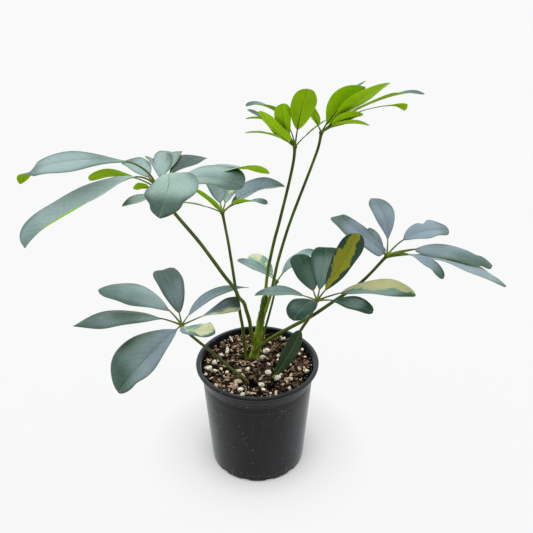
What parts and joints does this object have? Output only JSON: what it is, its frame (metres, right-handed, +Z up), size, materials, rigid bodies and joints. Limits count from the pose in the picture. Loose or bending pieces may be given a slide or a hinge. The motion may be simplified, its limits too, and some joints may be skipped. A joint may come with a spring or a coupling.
{
  "type": "potted umbrella plant",
  "caption": "Umbrella plant in a tapered black nursery pot: slender stems carry fans of long oval leaflets above bark soil.",
  "frame": {"origin": "centre of the pot's flat underside, on the surface it stands on", "axes": "+Z up the pot's axis; +X towards the longest right-hand leaf; -Y towards the side where the large left-hand leaf leans forward"},
  "size_m": [0.3826, 0.2337, 0.3864],
  "materials": {
    "pot_plastic": "satin",
    "soil_bark": "matte",
    "green_stem": "satin",
    "leaf_green": "satin",
    "leaf_variegated": "satin"
  },
  "bodies": {
    "root": {"pot": "pot_plastic", "soil": "soil_bark", "trunk": "green_stem", "leaf_upper_left": "leaf_green", "leaf_middle_left": "leaf_green", "leaf_top_left": "leaf_green", "leaf_top_right": "leaf_green", "leaf_right": "leaf_green", "leaf_lower_right": "leaf_variegated", "leaf_lower_left": "leaf_green", "leaf_behind": "leaf_green", "leaf_young": "leaf_green"}
  },
  "joints": []
}
